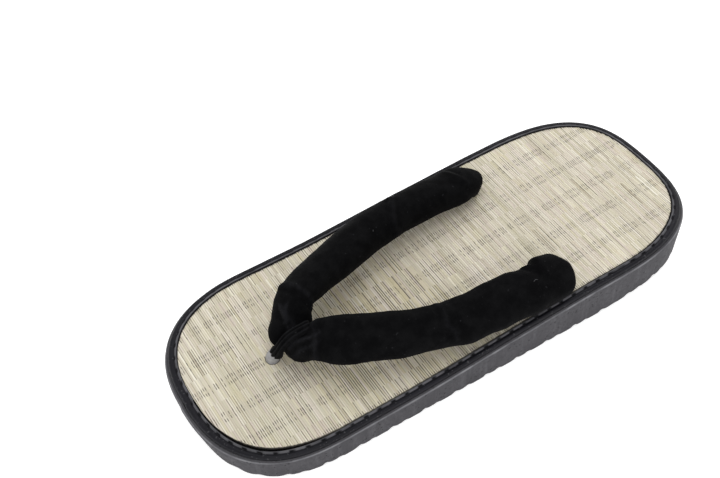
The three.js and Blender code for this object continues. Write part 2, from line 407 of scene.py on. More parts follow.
def loft(count, rows, place, closed=False):
    """A ring of count points, extruded through rows. Open ends are capped unless it is closed."""
    bm = bmesh.new()
    for layer in ("row", "column"):
        bm.verts.layers.int.new(layer)
    column = bm.verts.layers.int["column"]
    ring = bmesh.ops.create_circle(bm, segments=count, radius=1)["verts"]
    for i, vert in enumerate(ring):
        vert[column] = i
        vert.co = place(i, rows[0])
    first = list(bm.edges)
    last = grow(bm, first, rows[1:], place)
    if closed:
        bmesh.ops.bridge_loops(bm, edges=first + last)
    else:
        bmesh.ops.holes_fill(bm, edges=first, sides=0)
        bmesh.ops.holes_fill(bm, edges=last, sides=0)
    return bm


def piece(name, bm, material, slot, *replaced):
    """Turns a finished bmesh into an object that rides with the sandal."""
    bmesh.ops.recalc_face_normals(bm, faces=bm.faces)
    for face in bm.faces:
        face.smooth = True
    mesh = bpy.data.meshes.new(name)
    bm.to_mesh(mesh)
    bm.free()
    made = bpy.data.objects.new(name, mesh)
    bpy.context.scene.collection.objects.link(made)
    mesh.materials.append(material)
    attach(made, "root")
    if replaced:
        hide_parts(*replaced)
    print(name, "has", len(mesh.polygons), "faces")
    return made


# %% [markdown]
# ## Foam rubber
# The sole is cast foam rubber. It is dull and dark grey. Its cut wall shows upright streaks from the
# knife, and small open pits where bubbles were cut through, with shade painted into them. A highlight is
# painted along the lip round the top, with paler scuffed patches where it is worn. The ledge behind the
# lip stays darker. Noise gives the streaks and clouds, round cells give the pits, and two layers of
# numbers on the points, painted while the mesh is made, say where the lip's painted highlight and the
# ledge are.

# %% Foam rubber finish
# names of the layers: 1 on the lip, where a highlight is painted along with worn scuffed patches, and 1
# on the ledge behind it
LIP_WEAR_AND_HIGHLIGHT = "lip_wear"
LEDGE = "ledge"


def foam_rubber():
    recipe = Recipe("foam_rubber")
    streaks = recipe.noise(recipe.stretched((420, 420, 45)), 1.0, 3.0)
    clouds = recipe.noise(recipe.place, 38.0, 3.0)
    grain = recipe.noise(recipe.place, 1500.0, 2.0)
    cells = recipe.add("TexVoronoi", {}, {"Vector": recipe.place, "Scale": 520.0, "Randomness": 1.0})
    chance = recipe.noise(recipe.place, 260.0, 1.0)
    pits = (1 - cells.between(0.14, 0.34)) * chance.between(0.5, 0.56)
    speckle = recipe.noise(recipe.place, 620.0, 3.0, 0.7)
    wear_and_highlight = recipe.add("Attribute", {"attribute_name": LIP_WEAR_AND_HIGHLIGHT}, {}, "Fac")
    ledge = recipe.add("Attribute", {"attribute_name": LEDGE}, {}, "Fac")
    scuffs_and_highlight = wear_and_highlight * recipe.noise(recipe.place, 120.0, 3.0).between(0.25, 0.7)
    tone = recipe.blend(clouds.between(0.3, 0.7), (0.038, 0.0365, 0.0415), (0.056, 0.054, 0.06))
    tone = recipe.blend(streaks.between(0.45, 0.75) * 0.5, tone, (0.086, 0.084, 0.092))
    tone = recipe.blend(speckle.between(0.45, 0.65) * 0.7, tone, (0.034, 0.033, 0.038))
    # painted shade in the pits
    tone = recipe.blend(pits * 0.85, tone, (0.012, 0.012, 0.014))
    tone = recipe.blend(ledge * 0.6, tone, (0.026, 0.0255, 0.029))
    # a highlight painted along the lip, with paler scuffed patches where it is worn
    tone = recipe.blend(wear_and_highlight * 0.6, tone, (0.11, 0.108, 0.118))
    tone = recipe.blend(scuffs_and_highlight * 0.6, tone, (0.26, 0.26, 0.275))
    height = streaks * 0.35 + grain * 0.25 - pits * 0.9
    roughness = 0.8 - scuffs_and_highlight * 0.2
    return recipe.finish(tone, roughness, height, 0.25 * MM, {"Specular IOR Level": 0.35})


RUBBER = foam_rubber()

# %% [markdown]
# ## The sole
# The tread is a row of wavy lugs that run across the sole: a long flat one and a short one in every
# repeat. Their ends show as a scalloped lower edge. A flat sheet with lugs stuck on would need joints,
# so the tread is one plate with the lugs in its height. Its edge is grown upwards into the wall, which
# leans out a little from its foot and ends in a rounded lip, with a sloping ledge behind the lip that
# runs in under the band. One flat face closes the top, where the band and the mat lie.

# %% Tread, wall and lip
LUG_PITCH = 17.5
# along one repeat, and above the floor, in mm
LUG = [
    (0, 0), (6.2, 0), (7.8, 1.0), (9.0, 1.2), (10.6, 0.3), (13.4, 0.2), (15.0, 0.8), (16.2, 0.7),
    (LUG_PITCH, 0),
]
TREAD_EDGE = 2.4 * MM
# rows of points across the tread, as shares of its half width
TREAD_ROWS = [-1 + i / 8 for i in range(17)]
# how far the lugs wander along the sole in mm, how much their depths differ as a share, and the depth
# of their small teeth in mm
LUG_WANDER = 0.9
LUG_UNEVEN = 0.5
LUG_TEETH = 0.45
# how far the wall's foot leans in everywhere, and more at the toe and the heel, in mm
LEAN = 0.05
TOE_LEAN = 1.9
HEEL_LEAN = 0.9
# the small rounding where the tread turns into the wall
FOOT = 0.2 * MM


def tread(x, y):
    """Height of the tread. No two lugs are cut quite alike, but all flats stay on the floor."""
    along = (x + LENGTH / 2) / MM + LUG_WANDER * noise.noise(Vector((x * 30, y * 40, 3)))
    depth = through(LUG, along % LUG_PITCH)
    uneven = 1 + LUG_UNEVEN * noise.noise(Vector((x * 110, y * 25, 7)))
    teeth = LUG_TEETH * max(noise.noise(Vector((x * 330, y * 40, 2))), 0)
    return max(depth * uneven + teeth, 0) * MM


def undercut(point):
    """How far the wall's foot leans in at a point: most round the toe, less round the heel."""
    toe = smoothstep((-point.x / MM - 105) / 25) * smoothstep((point.y / MM + 45) / 30)
    heel = smoothstep((point.x / MM - 60) / 30)
    return (LEAN + TOE_LEAN * toe + HEEL_LEAN * heel) * MM


# rows of the wall, as shares of its height, from the foot's rounding upwards
WALL = [-0.01, 0, 0.02, 0.08, 0.25, 0.5, 0.75, 0.92]
# rows of the lip and the ledge: inset, and depth under the mat's surface, in mm
LIP = [
    (0.02, 4.4), (0.0, 3.9), (0.1, 3.5), (0.35, 3.1), (0.8, 2.7), (1.25, 2.3), (1.65, 1.95), (1.8, 2.9),
]
LIP_CREST = 0.35


def sole_mesh():
    """The whole sole, from the tread up, with the layers that the finish reads."""
    bm = bmesh.new()
    bm.verts.layers.int.new("row")
    column = bm.verts.layers.int.new("column")
    wear_and_highlight = bm.verts.layers.float.new(LIP_WEAR_AND_HIGHLIGHT)
    ledge = bm.verts.layers.float.new(LEDGE)
    plate(bm, rim(TREAD_EDGE), TREAD_ROWS, tread, column)
    border = [e for e in bm.edges if e.is_boundary]

    def on_wall(i, share):
        lean = undercut(rim_point(0, i)) * (1 - share)
        point = rim_point(lean + (FOOT if share < 0 else 0), i)
        foot = tread(point.x, point.y) + FOOT
        top = surface(point.x) - LIP[0][1] * MM
        return Vector((*point, foot + (top - foot) * share))

    def on_lip(i, row):
        moved = 0.3 * narrowed(rim_point(0, i)) * smoothstep((row[0] - 0.4) / 1.2)
        point = rim_point(row[0] * MM - moved, i)
        return Vector((*point, surface(point.x) - row[1] * MM))

    border = grow(bm, border, WALL, on_wall)
    border = grow(bm, border, LIP[:1], on_lip)
    for row in LIP[1:]:
        border = grow(bm, border, [row], on_lip)
        for vert in {v for e in border for v in e.verts}:
            # the lip's painted highlight is fainter round the toe, except on its crest
            sides = 0.3 + 0.7 * smoothstep((vert.co.x / MM + 95) / 40)
            vert[wear_and_highlight] = 1 if row[0] == LIP_CREST else 0.4 * sides if 0 < row[0] < LIP_CREST else 0
            vert[ledge] = 1 if row[0] > LIP_CREST else 0
    bmesh.ops.holes_fill(bm, edges=border, sides=0)
    bmesh.ops.remove_doubles(bm, verts=bm.verts, dist=1e-6)
    return bm


piece("sole", sole_mesh(), RUBBER, "sole_rubber", "outsole")

# %% [markdown]
# ## Vinyl band
# The band is a strip of black vinyl, folded and sewn down round the mat's edge. Its outer shoulder
# is rounded, and its inner lip stands up against the straw. The stitches sink into a groove beside the
# lip. Where the strip's two ends meet, near the toe, there is a small butt seam. The vinyl has a soft
# gloss, with dust in it. A grey highlight is painted on the lip between two stitches, and black shade is
# painted into the hole round each one.

# %% Vinyl finish
# names of the layers: 1 where a stitch sinks in and shade is painted, and 1 where a highlight is painted
# on the lip
STITCH_HOLE_SHADE = "stitched"
BAND_LIP_HIGHLIGHT = "rubbed"


def vinyl():
    recipe = Recipe("band_vinyl")
    grain = recipe.noise(recipe.place, 2600.0, 2.0)
    clouds = recipe.noise(recipe.place, 60.0, 3.0)
    dust = recipe.noise(recipe.place, 900.0, 1.0).between(0.66, 0.72)
    stitched = recipe.add("Attribute", {"attribute_name": STITCH_HOLE_SHADE}, {}, "Fac")
    rubbed = recipe.add("Attribute", {"attribute_name": BAND_LIP_HIGHLIGHT}, {}, "Fac")
    tone = recipe.blend(clouds.between(0.3, 0.7), (0.0048, 0.0047, 0.0068), (0.0085, 0.0082, 0.0115))
    uneven = 0.4 + clouds.between(0.25, 0.6) * 0.6
    # a highlight painted on the lip between the stitches
    tone = recipe.blend(rubbed * uneven * 0.9, tone, (0.1, 0.099, 0.107))
    tone = recipe.blend(dust * 0.4, tone, (0.1, 0.1, 0.105))
    # painted shade in the stitches' holes
    tone = recipe.blend(stitched * 0.9, tone, (0.002, 0.002, 0.003))
    roughness = 0.45 + clouds * 0.14 + dust * 0.2 + stitched * 0.3
    return recipe.finish(tone, roughness, grain, 0.04 * MM, {"Specular IOR Level": 0.14})


VINYL = vinyl()

# %% [markdown]
# The band is one closed ring of points, lofted through the rows of its cross-section: up the shoulder,
# over the flat, down into the groove and over the lip. A bevelled strip bent along a curve would do too,
# but here every row is a distance in from the outline, so the section stays true round both ends. The
# groove's points are pulled down at each stitch.

# %% Band
# inset from the outline, and depth under the mat's surface, in mm
BAND = [
    (1.8, 2.6), (1.78, 1.7), (1.9, 1.1), (2.2, 0.55), (2.65, 0.15), (3.2, -0.02), (3.8, -0.05),
    (4.2, -0.02), (4.45, 0.05), (4.7, 0.08), (4.95, 0.05), (5.1, -0.1), (5.25, -0.4), (5.45, -0.6),
    (5.75, -0.66), (6.0, -0.55), (6.15, 0.0), (6.2, 2.6),
]
# insets in mm between which the groove, the stitches' holes with their painted shade, and the lip's
# painted highlight lie
GROOVE = (4.6, 5.3)
HOLES = (4.6, 5.5)
LIP_HIGHLIGHT_SPAN = (5.0, 6.1)
STITCH_PITCH = 7.3 * MM
STITCH_LINE = 4.95
# how far from its middle a stitch is fully sunk, and over how much more it fades, as shares of the pitch
STITCH_REACH = 0.11
STITCH_FADE = 0.07
# place of the seam along the -Y side
SEAM_X = -118.5 * MM
SEAM_WIDTH = 0.5 * MM
SEAM_DEPTH = 0.5 * MM
# how far the groove sinks at a stitch, and how uneven the band is
PULL = 0.35 * MM
RIPPLE = 0.12 * MM


def band_point(inset, i):
    """A point of the outline at an inset of the band. On the narrow side the shoulder moves out a
    little, and the rows that lie 4.5 mm in or further move fully."""
    share = 0.3 + 0.7 * min((inset / MM - 1.8) / 2.7, 1)
    return rim_point(inset - narrowed(rim_point(inset, i)) * share, i)


def walk(inset):
    """Distance walked round the outline at each of its points."""
    path = [band_point(inset, i) for i in range(2 * COLUMNS + 1)]
    walked = [0.0]
    for here, after in zip(path, path[1:]):
        walked.append(walked[-1] + (after - here).length)
    return path, walked


stitch_path, stitch_walk = walk(STITCH_LINE * MM)
print("stitch line:", round(stitch_walk[-1] / MM), "mm round")


def in_stitch(i):
    """1 inside a stitch and 0 between two stitches, at a point of the outline."""
    away = abs((stitch_walk[i] / STITCH_PITCH) % 1 - 0.5)
    return 1 - smoothstep((away - STITCH_REACH) / STITCH_FADE)


def on_band(i, row):
    """A point of the band. The seam and the ripple stay near the top, so its underside is plain."""
    point = band_point(row[0] * MM, i)
    from_seam = abs(point.x - SEAM_X) / SEAM_WIDTH
    dip = SEAM_DEPTH * math.exp(-from_seam ** 2) if point.y < 0 and row[1] < 2 else 0
    ripple = RIPPLE * noise.noise(Vector((*point, 0)) * 60) if row[1] < 1 else 0
    pulled = PULL * in_stitch(i) if GROOVE[0] < row[0] < GROOVE[1] else 0
    return Vector((*point, surface(point.x) - row[1] * MM - dip - pulled + ripple))


def band_mesh():
    """The closed ring of the band, with the layers that the finish reads."""
    bm = loft(2 * COLUMNS, BAND, on_band, closed=True)
    column = bm.verts.layers.int["column"]
    stitched = bm.verts.layers.float.new(STITCH_HOLE_SHADE)
    rubbed = bm.verts.layers.float.new(BAND_LIP_HIGHLIGHT)
    row = bm.verts.layers.int["row"]
    for vert in bm.verts:
        inset = BAND[vert[row]][0]
        # painted shade in the stitches' holes, and a painted highlight on the lip between them
        cut = 1 if inset < GROOVE[1] else 0.7
        vert[stitched] = cut * in_stitch(vert[column]) if HOLES[0] < inset < HOLES[1] else 0
        vert[rubbed] = 1 - vert[stitched] if LIP_HIGHLIGHT_SPAN[0] < inset < LIP_HIGHLIGHT_SPAN[1] else 0
    return bm


piece("band", band_mesh(), VINYL, "band_vinyl", "edge_band")

# %% [markdown]
# The thread is black too, so it shows mostly by its shape. Its finish is a faint twist of two blacks,
# with the same twist in the bump.


# %% Thread finish
def thread():
    recipe = Recipe("thread")
    twist = recipe.noise(recipe.stretched((900, 900, 900)), 1.0, 1.0)
    tone = recipe.blend(twist.between(0.4, 0.65), (0.002, 0.002, 0.003), (0.01, 0.01, 0.012))
    return recipe.finish(tone, 0.6 + twist * 0.2, twist, 0.1 * MM, {"Specular IOR Level": 0.2})


# %% [markdown]
# Each stitch is short and plump, and dips into a hole at both ends. A thread swept along the groove would
# need hundreds of bends, so one small sphere is stretched for each stitch and laid along the groove, half
# sunk, with few faces because there are so many.

# %% Stitches
# half length, half width and half height
STITCH = Vector((1.1, 0.36, 0.3)) * MM
STITCH_DEPTH = 0.4 * MM


def stitches():
    """All stitches in one mesh, evenly spaced along the groove."""
    bm = bmesh.new()
    for number in range(int(stitch_walk[-1] / STITCH_PITCH)):
        due = (number + 0.5) * STITCH_PITCH
        i = max(k for k, walked in enumerate(stitch_walk) if walked <= due)
        here, after = stitch_path[i], stitch_path[i + 1]
        place = here.lerp(after, (due - stitch_walk[i]) / (after - here).length)
        along = after - here
        turn = Matrix.Rotation(math.atan2(along.y, along.x), 4, "Z")
        spot = Matrix.Translation((*place, surface(place.x) - STITCH_DEPTH))
        matrix = spot @ turn @ Matrix.Diagonal((*STITCH, 1))
        bmesh.ops.create_uvsphere(bm, u_segments=8, v_segments=6, radius=1, matrix=matrix)
    return bm


piece("band_stitches", stitches(), thread(), "band_vinyl")

# %% [markdown]
# ## Rush mat
# The mat is woven from rush: pale straws about a millimetre wide lie side by side across the foot, and
# thin warp threads bind them, in lines along the sandal. The straws are real relief here. Each has its
# own height and length, and the gaps between some of them are deep. A random number for each straw, and
# for each straw at each warp line, gives these differences, and it is the same on every run.

# %% Straws as relief
# width of a straw, points across it, and distance between warp lines
STRAW = 1.07 * MM
STEPS_PER_STRAW = 4
WARP = 17 * MM
MAT_INSET = 6.35 * MM
MAT_SIDE = 1.6 * MM
# how much deeper than the mat's surface the open and the closed gaps are, in mm
OPEN_GAP = 0.55
CLOSED_GAP = 0.12
# share of the gaps that stay closed
CLOSED_SHARE = 0.72
# how straws differ in height, each one and at each warp line, and how deep the warp pulls them, in mm
OWN_HEIGHT = 0.16
LOCAL_HEIGHT = 0.14
BOUND_DEPTH = 0.22
# reach of that pull, as a share of the distance between warp lines
BOUND_REACH = 0.05


def dice(*key):
    """A steady random number from 0 to 1 for a straw, or for a straw at one warp line."""
    return noise.cell(Vector(key)) / 2 + 0.5


def half_width_at(edge, x):
    """Half width at any x, between the columns of a rim."""
    below = max((i for i, (place, _) in enumerate(edge) if place <= x), default=0)
    (x0, y0), (x1, y1) = edge[below], edge[min(below + 1, len(edge) - 1)]
    return y0 if x1 - x0 < 1e-9 else y0 + (y1 - y0) * (x - x0) / (x1 - x0)


def straw_height(x, y):
    """Height of the mat's top, straw by straw."""
    count = x / STRAW
    number, across = math.floor(count + 0.01), (count + 0.01) % 1
    cell = round(y / WARP)
    crown = math.sin(math.pi * across)
    own = dice(number + 0.5, 0.5, 0.5) - 0.5
    local = dice(number + 0.5, cell + 0.5, 4.5) - 0.5
    gap = dice(math.floor(count + 0.5) + 0.5, cell + 0.5, 9.5)
    groove = OPEN_GAP if gap > CLOSED_SHARE else CLOSED_GAP + 0.16 * gap
    from_warp = abs(y / WARP - cell)
    bound = math.exp(-((from_warp / BOUND_REACH) ** 2))
    relief = groove * (crown - 1) + OWN_HEIGHT * own + LOCAL_HEIGHT * local - BOUND_DEPTH * bound
    return surface(x) + (relief - 0.05) * MM


print("straws along the mat:", round((LENGTH - 2 * MAT_INSET) / STRAW))

# %% [markdown]
# The mat's top is a plate with four columns of points to a straw. Its border is extruded down into a
# side, and a second plate closes it underneath. Straws are trimmed to slightly different lengths at the
# band. A UV map counts straws one way and warp lines the other, so that the finish can colour each straw
# by its number, and a layer holds each point's distance from the cut ends.

# %% Mat
# rows of points across one warp repeat, from one warp line to the next
WARP_ROWS = [0, 0.05, 0.1, 0.16, 0.3, 0.5, 0.7, 0.84, 0.9, 0.95]
LINES = range(-4, 4)
TRIM = 0.25 * MM
WEAVE = "weave"
FROM_EDGE = "from_edge"


def mat_mesh():
    """The mat: a top of straws, a side and an underside."""
    edge = rim(MAT_INSET)
    first, last = edge[0][0], edge[-1][0]
    count = round((last - first) / STRAW * STEPS_PER_STRAW)
    places = [first + (last - first) * i / count for i in range(count + 1)]
    columns = []
    for i, x in enumerate(places):
        trim = TRIM * dice(math.floor(x / STRAW) + 0.5, 2.5, 0.5)
        width = half_width_at(edge, x) - trim
        columns.append((x, 0 if i in (0, count) else max(width, 0)))
    rows = [(line + share) * WARP for line in LINES for share in WARP_ROWS]
    rows = [y for y in rows if abs(y) < HALF_WIDTH]
    bm = bmesh.new()
    plate(bm, columns, rows, straw_height)
    border = [e for e in bm.edges if e.is_boundary]
    made = bmesh.ops.extrude_edge_only(bm, edges=border)["geom"]
    for vert in (item for item in made if isinstance(item, bmesh.types.BMVert)):
        vert.co.z = surface(vert.co.x) - MAT_SIDE
    plate(bm, columns, [-1, 1], lambda x, y: surface(x) - MAT_SIDE)
    bmesh.ops.remove_doubles(bm, verts=bm.verts, dist=1e-6)
    from_edge = bm.verts.layers.float.new(FROM_EDGE)
    for vert in bm.verts:
        straw = round((vert.co.x - first) / (last - first) * count)
        vert[from_edge] = (columns[straw][1] - abs(vert.co.y)) / MM
        vert.co.y -= narrowed(vert.co) * smoothstep(-vert.co.y / HALF_WIDTH)
    weave = bm.loops.layers.uv.new(WEAVE)
    for face in bm.faces:
        for loop in face.loops:
            loop[weave].uv = (loop.vert.co.x / STRAW + 0.01, loop.vert.co.y / WARP)
    return bm


mat = mat_mesh()
print("mat:", len(mat.verts), "points")

# %% [markdown]
# The rush keeps its natural colours. Most straws are pale beige, and some are greener, yellower or pink.
# Painted shade darkens the sides of each straw and the slits between straws, most of all beside the warp
# lines and in a worn patch under the strap, where the foot has opened and yellowed the weave. A highlight
# is painted along the crowns of some straws. Shade is also painted at the cut ends and in a ring round
# the post. A painted picture would blur close up, so all of it is worked out from the straw's number, its
# warp line and noise.

# %% Rush finish
STRAW_TONES = [
    (0.0, (0.36, 0.315, 0.245)),
    (0.16, (0.52, 0.475, 0.39)),
    (0.34, (0.48, 0.45, 0.345)),
    (0.5, (0.57, 0.53, 0.45)),
    (0.64, (0.52, 0.455, 0.4)),
    (0.8, (0.54, 0.5, 0.37)),
    (1.0, (0.74, 0.71, 0.62)),
]
# middle and reach of the worn patch, place of the post, and where the painted shadow round it fades, in
# mm
WORN_MIDDLE = (-44, -10)
WORN_REACH = (52, 44)
POST_X, POST_Y = -90.2, -1.2
RING_FADE = (3.3, 4.0)


def rush():
    recipe = Recipe("rush")
    weave = recipe.add("UVMap", {"uv_map": WEAVE}, {})
    count, line, _ = recipe.axes(weave)
    x, y, _ = recipe.axes(recipe.place)
    number, across = count.floor(), count.fract()
    cell = (line + 0.5).floor()
    from_warp = (line - cell).size()

    def roll(*wires):
        """A steady random number from 0 to 1 for a set of whole numbers."""
        parts = dict(zip(("X", "Y", "Z"), wires))
        return recipe.add("TexWhiteNoise", {}, {"Vector": recipe.add("CombineXYZ", {}, parts)})

    slit_number = (count + 0.5).floor()
    half_line = (line * 2 + 0.5).floor()
    own = roll(number, 0.5)
    local = roll(number, cell, 3.5)
    gap_roll = roll(slit_number, cell, 7.5)
    tick_roll = roll(slit_number, half_line, 2.5)
    fibres = recipe.noise(recipe.stretched((5200, 160, 100)), 1.0, 2.0)
    blotches = recipe.noise(recipe.stretched((150, 60, 100)), 1.0, 3.0)
    tone = recipe.add("ValToRGB", {"stops": STRAW_TONES}, {"Fac": own * 0.6 + local * 0.4})
    tone = recipe.blend(fibres.between(0.35, 0.7) * 0.25, tone, (0.5, 0.43, 0.27))
    tone = recipe.blend(blotches.between(0.52, 0.75) * 0.3, tone, (0.52, 0.47, 0.26))
    worn_x = (x / MM - WORN_MIDDLE[0]) / WORN_REACH[0]
    worn_y = (y / MM - WORN_MIDDLE[1]) / WORN_REACH[1]
    worn = 1 - (worn_x * worn_x + worn_y * worn_y).between(0.25, 1.3)
    tone = recipe.blend(worn * local.between(0.35, 0.8) * 0.45, tone, (0.46, 0.39, 0.22))
    off_middle = (across - 0.5).size() * 2
    edge = off_middle.between(0.55, 1.0)
    slit = off_middle.between(0.72 - worn * 0.27, 0.96)
    wide_slit = off_middle.between(0.4, 0.78)
    open_gap = (gap_roll + worn * 0.36 + (blotches - 0.5) * 0.4).between(0.76, 0.95)
    wander = (roll(number, half_line, 6.5) - 0.5) * 0.08
    beside_warp = 1 - ((from_warp - 0.085 + wander).size() / 0.065).between(0.6, 1.1)
    beside_warp = beside_warp * tick_roll.between(0.1, 0.6)
    # painted shade on the sides of each straw, in the open slits between straws, and in the short slits
    # beside the warp lines
    tone = recipe.blend(edge * (0.12 + gap_roll.between(0.1, 0.8) * 0.72), tone, (0.22, 0.19, 0.13))
    tone = recipe.blend(slit * open_gap * 0.92, tone, (0.05, 0.04, 0.03))
    tone = recipe.blend(wide_slit * beside_warp * 0.8, tone, (0.07, 0.06, 0.052))
    # a highlight painted along the crowns of some straws
    crest = (1 - off_middle).between(0.45, 0.9) * roll(number, cell, 8.5).between(0.45, 0.9)
    tone = recipe.blend(crest * 0.5, tone, (0.78, 0.75, 0.66))
    # painted shade at the cut ends, in the crevice beside the band
    cut_end = recipe.add("Attribute", {"attribute_name": FROM_EDGE}, {}, "Fac")
    tone = recipe.blend(1 - cut_end.between(0.2, 0.8), tone, (0.03, 0.026, 0.022))
    # a painted shadow in a ring round the post's foot
    post_x, post_y = x / MM - POST_X, y / MM - POST_Y
    from_post = (post_x * post_x + post_y * post_y) ** 0.5
    tone = recipe.blend(1 - from_post.between(*RING_FADE), tone, (0.02, 0.018, 0.016))
    thread_line = (1 - (from_warp / 0.04).between(0.6, 1.2)) * 0.12
    tone = recipe.blend(thread_line, tone, (0.3, 0.27, 0.2))
    height = fibres * 0.5 + blotches * 0.2
    return recipe.finish(tone, 0.55 + fibres * 0.2, height, 0.08 * MM, {"Specular IOR Level": 0.35})


piece("rush_mat", mat, rush(), "rush", "insole_mat")

# %% [markdown]
# ## Velvet
# Velvet is nearly black because its pile swallows light, and it pales only where the pile is seen edge
# on. That pale rim is the shader's sheen, and a hair system would be far too heavy for it. Fine fuzz goes
# into the bump, and specks of dust into the colour. A faint highlight is also painted on the crests of
# folds, which a layer on the points gives.


# %% Velvet finish
# name of the layer: 1 on the crest of a fold, where a highlight is painted
FOLD_CREST_HIGHLIGHT = "fold_crest"


def velvet():
    recipe = Recipe("velvet")
    pile = recipe.noise(recipe.place, 3800.0, 2.0)
    brushed = recipe.noise(recipe.place, 170.0, 4.0, 0.6)
    specks = recipe.noise(recipe.place, 700.0, 1.0).between(0.74, 0.78)
    tone = recipe.blend(brushed.between(0.35, 0.7), (0.0016, 0.0016, 0.0019), (0.0038, 0.0038, 0.0042))
    crest = recipe.add("Attribute", {"attribute_name": FOLD_CREST_HIGHLIGHT}, {}, "Fac")
    # a highlight painted on the crests of folds and pleats
    tone = recipe.blend(crest * crest * brushed.between(0.2, 0.6), tone, (0.012, 0.012, 0.014))
    tone = recipe.blend(specks * 0.12, tone, (0.09, 0.09, 0.1))
    height = pile * 0.5 + brushed * 0.6
    fixed = {"Specular IOR Level": 0.04, "Sheen Weight": 0.012, "Sheen Roughness": 0.4}
    return recipe.finish(tone, 0.85 + pile * 0.1, height, 0.2 * MM, fixed)


VELVET = velvet()

# %% [markdown]
# ## Padded strap
# The strap is a velvet tube stuffed with wadding. A copy of the solid model's strap is made into an even
# net of small faces, shrunk a little, and inflated as cloth, so that it swells and puckers as stuffed
# fabric does. The creases come after that, because the net would lose them.

# %% Net for the cloth
NET_SIZE = 2.4 * MM
NET_PASSES = 5


def apply_modifiers(target):
    """Gives the object the mesh that its modifiers make, and removes them."""
    graph = bpy.context.evaluated_depsgraph_get()
    made = bpy.data.meshes.new_from_object(target.evaluated_get(graph))
    target.modifiers.clear()
    target.data = made


def relax(bm, passes):
    """Evens out a net, moving each point halfway to the middle of its neighbours at every pass."""
    axes = {"use_axis_x": True, "use_axis_y": True, "use_axis_z": True}
    for _ in range(passes):
        bmesh.ops.smooth_vert(bm, verts=bm.verts, factor=0.5, **axes)
    bm.normal_update()


def strap_net():
    """A copy of the solid model's strap, as an even net of small faces."""
    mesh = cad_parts["strap"].data.copy()
    mesh.name = "strap_net"
    net = bpy.data.objects.new("strap_net", mesh)
    bpy.context.scene.collection.objects.link(net)
    bm = bmesh.new()
    bm.from_mesh(mesh)
    bmesh.ops.remove_doubles(bm, verts=bm.verts, dist=1e-6)
    bm.to_mesh(mesh)
    bm.free()
    remesh = net.modifiers.new("even_net", "REMESH")
    remesh.mode = "VOXEL"
    remesh.voxel_size = NET_SIZE
    apply_modifiers(net)
    bm = bmesh.new()
    bm.from_mesh(net.data)
    relax(bm, NET_PASSES)
    bm.to_mesh(net.data)
    bm.free()
    return net


net = strap_net()
print("strap net:", len(net.data.vertices), "points")

# %% [markdown]
# The net is pulled in a little and then blown up by a short run of cloth with pressure inside. Scaling
# the solid up would keep its stiff look. The points near the mat are held, so that the strap's ends stay
# in their sockets, and no point may end far from the solid model, which keeps the room for the foot.

# %% Inflate
SHRINK = 0.5 * MM
HELD_UNDER = 2.5 * MM
PRESSURE = 4.0
FRAMES = 20
MOST_MOVED = 1.2 * MM


def inflate(net):
    """Runs the cloth on the net, and keeps the shape that it ends in."""
    rest = [vert.co.copy() for vert in net.data.vertices]
    normals = [vert.normal.copy() for vert in net.data.vertices]
    for vert, normal in zip(net.data.vertices, normals):
        vert.co -= normal * SHRINK
    held = net.vertex_groups.new(name="held")
    low = [v.index for v in net.data.vertices if v.co.z < surface(v.co.x) + HELD_UNDER]
    held.add(low, 1.0, "REPLACE")
    cloth = net.modifiers.new("wadding", "CLOTH")
    cloth.settings.vertex_group_mass = "held"
    cloth.settings.use_pressure = True
    cloth.settings.uniform_pressure_force = PRESSURE
    cloth.settings.effector_weights.gravity = 0
    cloth.settings.quality = 5
    cloth.settings.mass = 0.15
    cloth.settings.tension_stiffness = 8
    cloth.settings.compression_stiffness = 8
    cloth.settings.bending_stiffness = 0.2
    scene = bpy.context.scene
    for step in range(1, FRAMES + 1):
        scene.frame_set(step)
    apply_modifiers(net)
    scene.frame_set(1)
    for vert, start in zip(net.data.vertices, rest):
        moved = vert.co - start
        if moved.length > MOST_MOVED:
            vert.co = start + moved.normalized() * MOST_MOVED
    print("inflated", len(rest), "points over", FRAMES, "frames")


inflate(net)

# %% [markdown]
# Creases are placed one by one along the strap. Each is a path of a few points with a width and a depth:
# a soft trough, with a low ridge on one side where the cloth piles up. A cloth run that made such creases
# would need a very fine net, and they would fall somewhere else on every strap.

